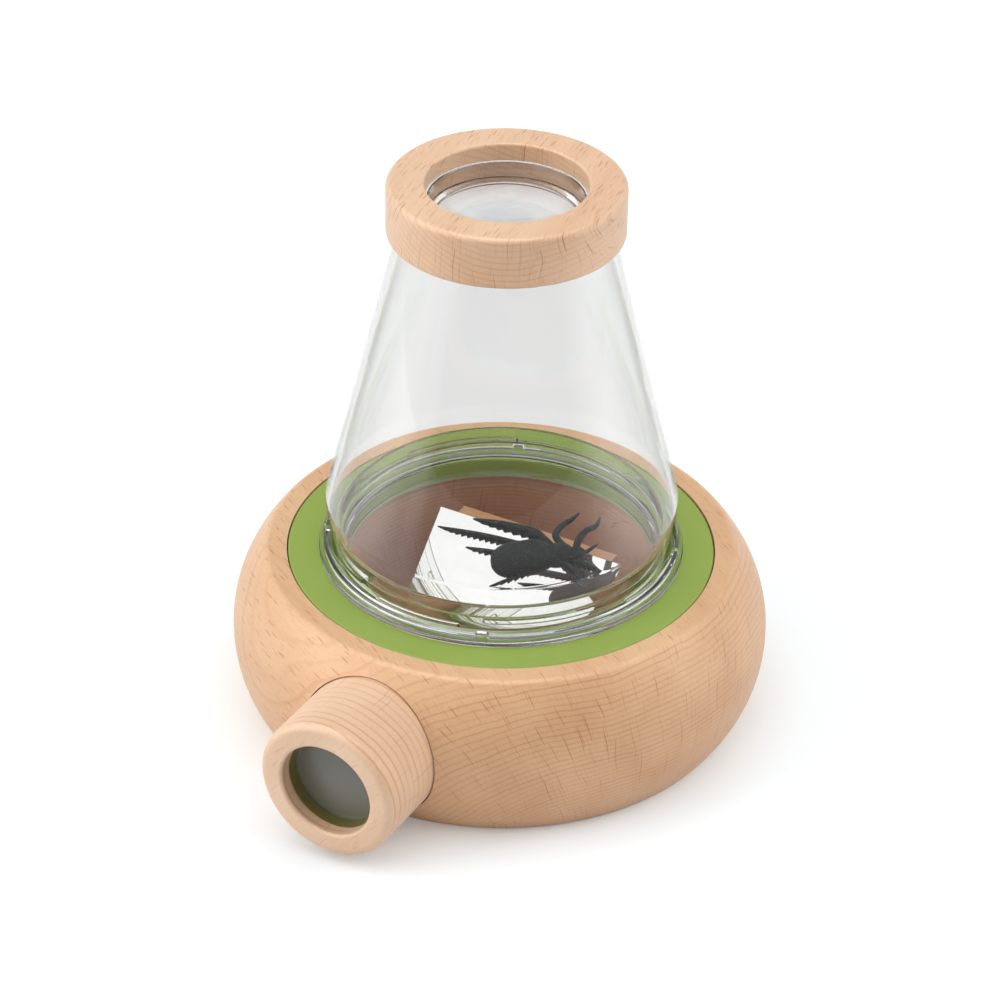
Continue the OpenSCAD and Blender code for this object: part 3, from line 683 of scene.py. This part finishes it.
# Studio: a pale floor that keeps the object's soft shadow, three soft lamps, and a bright room with a
# pattern for whatever mirrors it. Each pair is where a step begins and ends: metres out on the floor, the
# rise of a view, or its cosine to the camera, key or patch.
FLOOR_R = 0.9
FLOOR_GLOW, FLOOR_FADE = 0.13, (0.3, 0.6)
FLOOR_SEEN = (0.9, 0.965, 1.0, 1.0)
FLOOR_BOUNCE, FLOOR_THROUGH, ROOM_LIGHT = 0.75, 0.845, 0.5
EYE_LEVEL = (0.0, 0.0, 0.08)
TO_CAMERA = (0.4831, -0.8756, 0.0)
TO_LEFT = (-0.8756, -0.4831, 0.0)
TO_KEY = (-0.42, -0.54, 0.73)
TO_PATCH = (-0.406, 0.736, 0.542)
FRONT, SIDES = (0.15, 0.72), (-0.4, 0.1)
STRIP_IN, STRIP_OUT = (0.44, 0.5), (0.6, 0.68)
NEAR_FLOOR, FRONT_TOP, OVERHEAD = (-0.42, -0.2), (0.35, 0.6), (0.84, 0.95)
KEY, PATCH = (0.6, 0.82), (0.9, 0.97)
SIDE_LEVEL, FRONT_LEVEL, FLOOR_LEVEL, PATCH_LEVEL = 0.95, 0.15, 0.9, 0.05
STRIP_LIGHT, OVERHEAD_LIGHT, KEY_LIGHT, KEY_THROUGH, SHADE_DEPTH = 0.5, 2.0, 1.5, 0.5, 0.84
LAMP_AIM = (0.0, 0.0, 0.05)
# The camera stands at an azimuth and elevation and is rolled, in degrees.
CAMERA_ANGLES, CAMERA_DISTANCE, CAMERA_AIM = (28.89, 32.8, 0.95), 0.8973, (0.0, 0.0, 0.06)
CAMERA_LENS, SENSOR_WIDTH, CAMERA_SHIFT = 130.07, 36.0, (-0.00196, -0.01271)


def towards(tree, value, share, target):
    """A value moved by a share towards a target."""
    return plus(tree, times(tree, value, minus(tree, 1.0, share)), times(tree, share, target))


def reflection_group():
    """What a polished face mirrors in each direction: a dark studio before the camera, white sides and
    back, a dark patch above the back, the white floor close by, a narrow lit strip to the left, a panel
    overhead and the key panel high on the left."""
    tree = bpy.data.node_groups.new("studio_reflection", "ShaderNodeTree")
    given = sockets(tree, "INPUT", Heading="Vector")
    result = sockets(tree, "OUTPUT", Level="Float", Key="Float", Shade="Float")
    heading = vectors(tree, "NORMALIZE", given["Heading"])
    flat = vectors(tree, "NORMALIZE", vectors(tree, "MULTIPLY", heading, (1.0, 1.0, 0.0)))
    front, left = dot(tree, flat, TO_CAMERA), dot(tree, flat, TO_LEFT)
    rise = add(tree, "ShaderNodeSeparateXYZ", {0: heading}, out="Z")
    dark = stepped(tree, front, *FRONT)
    side_light = times(tree, stepped(tree, front, *SIDES), minus(tree, 1.0, dark))
    level = plus(tree, side_light, stepped(tree, front, *FRONT, SIDE_LEVEL, FRONT_LEVEL))
    strip = times(tree, stepped(tree, front, *STRIP_IN), stepped(tree, front, *STRIP_OUT, 1.0, 0.0))
    strip = times(tree, strip, calc(tree, "GREATER_THAN", left, 0.0))
    level = scaled(tree, strip, STRIP_LIGHT, level)
    down = stepped(tree, rise, *NEAR_FLOOR, 1.0, 0.0)
    level = towards(tree, level, down, FLOOR_LEVEL)
    level = scaled(tree, stepped(tree, rise, *OVERHEAD), OVERHEAD_LIGHT, level)
    patch = stepped(tree, dot(tree, heading, TO_PATCH), *PATCH)
    before = times(tree, dark, minus(tree, 1.0, down))
    before = times(tree, before, stepped(tree, rise, *FRONT_TOP, 1.0, 0.0))
    tree.links.new(towards(tree, level, patch, PATCH_LEVEL), result["Level"])
    tree.links.new(stepped(tree, dot(tree, heading, TO_KEY), *KEY), result["Key"])
    tree.links.new(calc(tree, "MAXIMUM", patch, before), result["Shade"])
    return tree


def reflected(tree, heading):
    """The studio's reflection, key panel and dark parts for a heading, as three sockets."""
    node = tree.nodes.new("ShaderNodeGroup")
    node.node_tree = REFLECTION
    tree.links.new(heading, node.inputs["Heading"])
    return node.outputs["Level"], node.outputs["Key"], node.outputs["Shade"]


def grey(level):
    """A grey of a linear level."""
    return (level, level, level, 1.0)


def studio_floor():
    """A level disc: white to the camera and through glass, whiter still far out, shaded by the studio's
    pattern where it is mirrored and mid grey for bounced light."""
    turn = np.linspace(0, 2 * np.pi, 96, endpoint=False)
    rim = np.stack([FLOOR_R * np.cos(turn), FLOOR_R * np.sin(turn), np.zeros_like(turn)], 1)
    mesh = bpy.data.meshes.new("floor")
    mesh.from_pydata(rim.tolist(), [], [list(range(len(rim)))])
    floor = bpy.data.objects.new("floor", mesh)
    bpy.context.scene.collection.objects.link(floor)
    material, tree, shader = new_material("floor_white")
    path = tree.nodes.new("ShaderNodeLightPath").outputs
    where = tree.nodes.new("ShaderNodeTexCoord").outputs["Object"]
    level, _, _ = reflected(tree, vectors(tree, "SUBTRACT", where, EYE_LEVEL))
    colour = blend(tree, path["Is Glossy Ray"], grey(FLOOR_BOUNCE), level)
    colour = blend(tree, path["Is Transmission Ray"], colour, grey(FLOOR_THROUGH))
    glow = stepped(tree, vectors(tree, "LENGTH", where, out="Value"), *FLOOR_FADE, FLOOR_GLOW, 1.0)
    feed(tree, shader, {"Base Color": blend(tree, path["Is Camera Ray"], colour, FLOOR_SEEN),
                        "Roughness": 1.0, "Specular IOR Level": 0.0, "Emission Color": grey(1.0),
                        "Emission Strength": times(tree, path["Is Camera Ray"], glow)})
    mesh.materials.append(material)


def studio_room():
    """A white room to the camera and through clear walls, the same with its dark parts where these walls
    mirror it, the studio's pattern to what else mirrors it, and even light for the rest."""
    world = bpy.data.worlds.new("studio")
    bpy.context.scene.world = world
    world.use_nodes = True
    tree = world.node_tree
    path = tree.nodes.new("ShaderNodeLightPath").outputs
    level, key, shade = reflected(tree, tree.nodes.new("ShaderNodeTexCoord").outputs["Generated"])
    mirrored = scaled(tree, key, KEY_LIGHT, level)
    shade = times(tree, shade, calc(tree, "GREATER_THAN", path["Glossy Depth"], 0.5))
    through = scaled(tree, key, KEY_THROUGH, scaled(tree, shade, -SHADE_DEPTH, 1.0))
    colour = blend(tree, path["Is Glossy Ray"], grey(ROOM_LIGHT), mirrored)
    colour = blend(tree, path["Is Transmission Ray"], colour, through)
    colour = blend(tree, path["Is Camera Ray"], colour, grey(1.0))
    tree.links.new(colour, tree.nodes["Background"].inputs["Color"])


def soft_lamp(name, place, size, power):
    """A square soft box at a place, turned to the object."""
    lamp = bpy.data.lights.new(name, "AREA")
    lamp.shape = "SQUARE"
    lamp.size = size
    lamp.energy = power
    box = bpy.data.objects.new(name, lamp)
    box.location = place
    box.rotation_euler = (Vector(LAMP_AIM) - Vector(place)).to_track_quat("-Z", "Y").to_euler()
    box.visible_glossy = False
    box.visible_transmission = False
    bpy.context.scene.collection.objects.link(box)


def studio_camera():
    """The photograph's camera, from its angle, distance and roll round the line of sight."""
    azimuth, elevation, roll = (math.radians(angle) for angle in CAMERA_ANGLES)
    reach = math.cos(elevation)
    back = Vector((math.sin(azimuth) * reach, -math.cos(azimuth) * reach, math.sin(elevation)))
    right = Vector((math.cos(azimuth), math.sin(azimuth), 0))
    up = back.cross(right)
    across = math.cos(roll) * right + math.sin(roll) * up
    upright = math.cos(roll) * up - math.sin(roll) * right
    lens = bpy.data.cameras.new("camera")
    lens.sensor_width = SENSOR_WIDTH
    lens.lens = CAMERA_LENS
    lens.shift_x, lens.shift_y = CAMERA_SHIFT
    lens.clip_start = 0.01
    camera = bpy.data.objects.new("camera", lens)
    axes = Matrix((across, upright, back)).transposed().to_4x4()
    camera.matrix_world = Matrix.Translation(Vector(CAMERA_AIM) + CAMERA_DISTANCE * back) @ axes
    bpy.context.scene.collection.objects.link(camera)
    bpy.context.scene.camera = camera


REFLECTION = reflection_group()
studio_floor()
studio_room()
soft_lamp("overhead", (-0.05, -0.05, 1.1), size=1.4, power=5.1)
soft_lamp("left_side", (-0.78, -0.64, 0.54), size=0.9, power=6.0)
soft_lamp("right_side", (0.85, 0.3, 0.75), size=0.8, power=4.2)
studio_camera()
bpy.context.scene.view_settings.view_transform = "Standard"
bpy.context.scene.cycles.transparent_max_bounces = 32
bpy.context.scene.cycles.max_bounces = 24
bpy.context.scene.cycles.transmission_bounces = 24
